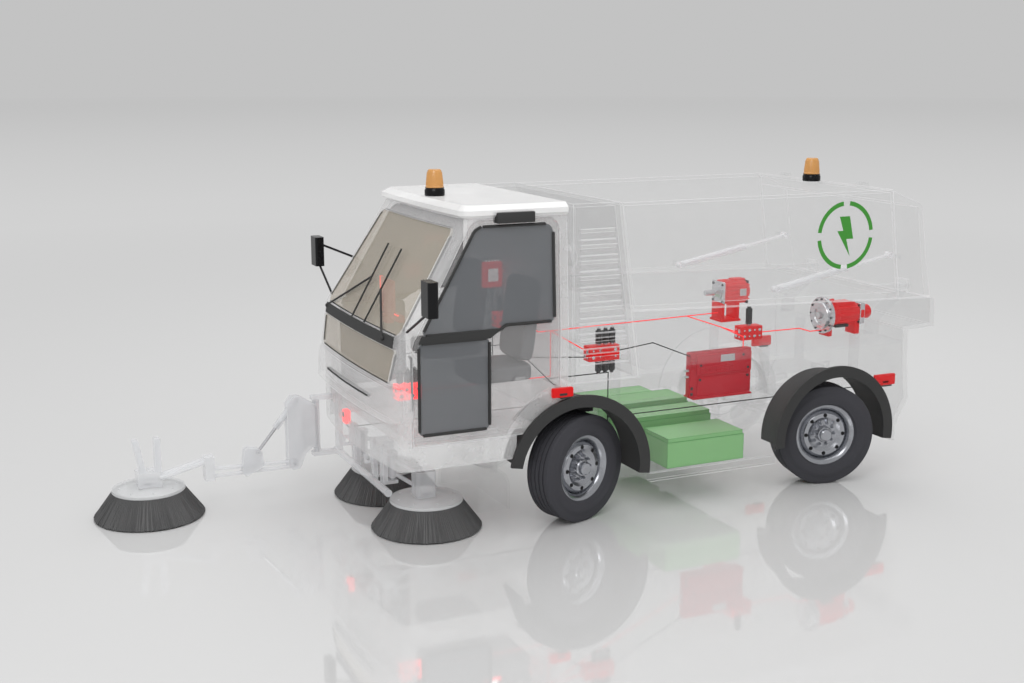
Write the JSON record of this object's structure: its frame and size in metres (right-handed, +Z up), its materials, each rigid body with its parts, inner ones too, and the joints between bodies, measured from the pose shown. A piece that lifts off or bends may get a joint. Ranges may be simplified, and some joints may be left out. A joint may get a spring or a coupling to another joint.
{
  "type": "self-propelled sweeper",
  "caption": "Compact road sweeper with four steered wheels, glazed cab, tipping hopper, suction nozzle, side brushes and a front brush on a swinging arm.",
  "frame": {"origin": "on the ground under the middle of the whole machine, front brush included", "axes": "+X forward, +Y to the left side, +Z up"},
  "size_m": [6.414, 2.644, 2.54],
  "materials": {
    "body_panel": "satin",
    "windscreen": "tinted warm grey",
    "door_glass": "dark tint",
    "black_trim": "satin black",
    "beacon": "gloss",
    "seat_cloth": "woven",
    "frame_steel": "satin",
    "tyre_rubber": "rubber",
    "rim_silver": "satin",
    "bristle": "fibre",
    "duct_grey": "satin",
    "cylinder_black": "gloss",
    "rod_chrome": "polished",
    "battery_green": "gloss",
    "component_red": "gloss"
  },
  "bodies": {
    "machine": {"cab_shell": "body_panel", "cab_glass": "windscreen", "cab_roof": "body_panel", "cab_beacon": "beacon", "mirrors": "black_trim", "seats": "seat_cloth", "dashboard": "black_trim", "chassis_frame": "frame_steel", "front_axle": "frame_steel", "rear_axle": "frame_steel", "wheel_arches": "black_trim", "cooling_tower": "body_panel", "lower_body": "body_panel", "suction_nozzle": "duct_grey", "suction_duct": "duct_grey", "front_frame": "frame_steel", "front_bumper": "body_panel", "battery_packs": "battery_green", "fan_motor": "component_red", "hydraulic_pump": "component_red", "inverter": "component_red", "valve_blocks": "component_red", "corner_sensors": "black_trim", "operator_terminals": "component_red", "hydraulic_lines": "component_red", "cable_harness": "black_trim", "cowl_wipers": "black_trim"},
    "left_door": {"door_left": "body_panel", "door_glass_left": "door_glass"},
    "right_door": {"door_right": "body_panel", "door_glass_right": "door_glass"},
    "front_left_steering_knuckle": {"front_left_knuckle": "frame_steel"},
    "front_left_wheel": {"front_left_tyre": "tyre_rubber", "front_left_rim": "rim_silver"},
    "front_right_steering_knuckle": {"front_right_knuckle": "frame_steel"},
    "front_right_wheel": {"front_right_tyre": "tyre_rubber", "front_right_rim": "rim_silver"},
    "front_tie_rod": {"front_track_rod": "frame_steel"},
    "rear_left_steering_knuckle": {"rear_left_knuckle": "frame_steel"},
    "rear_left_wheel": {"rear_left_tyre": "tyre_rubber", "rear_left_rim": "rim_silver"},
    "rear_right_steering_knuckle": {"rear_right_knuckle": "frame_steel"},
    "rear_right_wheel": {"rear_right_tyre": "tyre_rubber", "rear_right_rim": "rim_silver"},
    "rear_tie_rod": {"rear_track_rod": "frame_steel"},
    "hopper": {"hopper_shell": "body_panel", "hopper_beacon": "beacon"},
    "gate": {"hopper_gate": "body_panel"},
    "gate_barrels": {"gate_cylinder_barrels": "cylinder_black"},
    "gate_rods": {"gate_cylinder_rods": "rod_chrome"},
    "turret": {"arm_turret": "frame_steel"},
    "boom": {"arm_boom": "frame_steel"},
    "lift_barrel": {"lift_cylinder_barrel": "cylinder_black"},
    "lift_rod": {"lift_cylinder_rod": "rod_chrome"},
    "front_broom": {"front_brush": "bristle"},
    "left_side_arm": {"side_brush_arm_left": "frame_steel"},
    "left_side_broom": {"side_brush_left": "bristle"},
    "right_side_arm": {"side_brush_arm_right": "frame_steel"},
    "right_side_broom": {"side_brush_right": "bristle"}
  },
  "joints": [
    {"name": "front_left_steer", "type": "hinge", "parent": "machine", "child": "front_left_steering_knuckle", "pos_m": [-0.018, 0.655, 0.3985], "axis": [0, 0, 1], "range_deg": [-49.2, 10.8]},
    {"name": "front_left_wheel_spin", "type": "hinge", "parent": "front_left_steering_knuckle", "child": "front_left_wheel", "pos_m": [-0.04431, 0.73055, 0.3985], "axis": [-0.3289, 0.9444, 0], "continuous": true},
    {"name": "front_right_steer", "type": "hinge", "parent": "machine", "child": "front_right_steering_knuckle", "pos_m": [-0.018, -0.655, 0.3985], "axis": [0, 0, 1], "range_deg": [-49.2, 10.8]},
    {"name": "front_right_wheel_spin", "type": "hinge", "parent": "front_right_steering_knuckle", "child": "front_right_wheel", "pos_m": [0.00831, -0.73055, 0.3985], "axis": [-0.3289, 0.9444, 0], "continuous": true},
    {"name": "front_tie_rod_slide", "type": "slide", "parent": "machine", "child": "front_tie_rod", "axis": [0, 1, 0], "range_m": [-0.03, 0.1258]},
    {"name": "rear_left_steer", "type": "hinge", "parent": "machine", "child": "rear_left_steering_knuckle", "pos_m": [-2.273, 0.655, 0.3985], "axis": [0, 0, 1], "range_deg": [-6.5, 33.5]},
    {"name": "rear_left_wheel_spin", "type": "hinge", "parent": "rear_left_steering_knuckle", "child": "rear_left_wheel", "pos_m": [-2.25432, 0.73279, 0.3985], "axis": [0.2334, 0.9724, 0], "continuous": true},
    {"name": "rear_right_steer", "type": "hinge", "parent": "machine", "child": "rear_right_steering_knuckle", "pos_m": [-2.273, -0.655, 0.3985], "axis": [0, 0, 1], "range_deg": [-6.5, 33.5]},
    {"name": "rear_right_wheel_spin", "type": "hinge", "parent": "rear_right_steering_knuckle", "child": "rear_right_wheel", "pos_m": [-2.29168, -0.73279, 0.3985], "axis": [0.2334, 0.9724, 0], "continuous": true},
    {"name": "rear_tie_rod_slide", "type": "slide", "parent": "machine", "child": "rear_tie_rod", "axis": [0, 1, 0], "range_m": [-0.0866, 0.0192]},
    {"name": "left_door_hinge", "type": "hinge", "parent": "machine", "child": "left_door", "pos_m": [1.256, 0.87, 1.135], "axis": [0, 0, -1], "range_deg": [0, 70]},
    {"name": "right_door_hinge", "type": "hinge", "parent": "machine", "child": "right_door", "pos_m": [1.256, -0.87, 1.135], "axis": [0, 0, 1], "range_deg": [0, 70]},
    {"name": "hopper_tip", "type": "hinge", "parent": "machine", "child": "hopper", "pos_m": [-3.138, 0, 1.51], "axis": [0, -1, 0], "range_deg": [0, 45]},
    {"name": "gate_open", "type": "hinge", "parent": "hopper", "child": "gate", "pos_m": [-2.71, 0, 2.35], "axis": [0, 1, 0], "range_deg": [0, 75]},
    {"name": "gate_barrel_tilt", "type": "hinge", "parent": "hopper", "child": "gate_barrels", "pos_m": [-1.788, 0, 1.585], "axis": [0, 1, 0], "range_deg": [-1, 17.4]},
    {"name": "gate_rod_slide", "type": "slide", "parent": "gate_barrels", "child": "gate_rods", "axis": [-0.9825, 0, 0.1865], "range_m": [-0.004, 0.5954]},
    {"name": "turret_swing", "type": "hinge", "parent": "machine", "child": "turret", "pos_m": [1.532, -0.56, 0.565], "axis": [0, 0, 1], "range_deg": [-70, 60]},
    {"name": "boom_lift", "type": "hinge", "parent": "turret", "child": "boom", "pos_m": [1.715, -0.56, 0.285], "axis": [0, -1, 0], "range_deg": [0, 25]},
    {"name": "lift_barrel_tilt", "type": "hinge", "parent": "turret", "child": "lift_barrel", "pos_m": [1.688, -0.56, 0.779], "axis": [0, -1, 0], "range_deg": [-1, 2]},
    {"name": "lift_rod_slide", "type": "slide", "parent": "lift_barrel", "child": "lift_rod", "axis": [0.6359, 0, -0.7718], "range_m": [-0.1343, 0.003]},
    {"name": "front_broom_spin", "type": "hinge", "parent": "boom", "child": "front_broom", "pos_m": [2.802, -0.64, 0.218], "axis": [0, 0, 1], "continuous": true},
    {"name": "left_side_arm_swing", "type": "hinge", "parent": "machine", "child": "left_side_arm", "pos_m": [1.232, 0.33, 0.45], "axis": [0, 0, -1], "range_deg": [0, 30]},
    {"name": "left_side_broom_spin", "type": "hinge", "parent": "left_side_arm", "child": "left_side_broom", "pos_m": [1.017, 0.445, 0.218], "axis": [0, 0, 1], "continuous": true},
    {"name": "right_side_arm_swing", "type": "hinge", "parent": "machine", "child": "right_side_arm", "pos_m": [1.232, -0.33, 0.45], "axis": [0, 0, 1], "range_deg": [0, 30]},
    {"name": "right_side_broom_spin", "type": "hinge", "parent": "right_side_arm", "child": "right_side_broom", "pos_m": [1.017, -0.445, 0.218], "axis": [0, 0, 1], "continuous": true}
  ],
  "couplings": [
    {"joint": "front_right_steer", "follows": "front_left_steer", "ratio": 1},
    {"joint": "front_tie_rod_slide", "follows": "front_left_steer", "m_per_rad": -0.143},
    {"joint": "rear_right_steer", "follows": "rear_left_steer", "ratio": 1},
    {"joint": "rear_tie_rod_slide", "follows": "rear_left_steer", "m_per_rad": -0.143},
    {"joint": "gate_barrel_tilt", "follows": "gate_open", "ratio": 0.2193},
    {"joint": "gate_rod_slide", "follows": "gate_open", "m_per_rad": 0.4518},
    {"joint": "lift_barrel_tilt", "follows": "boom_lift", "ratio": 0.0409},
    {"joint": "lift_rod_slide", "follows": "boom_lift", "m_per_rad": -0.301}
  ]
}
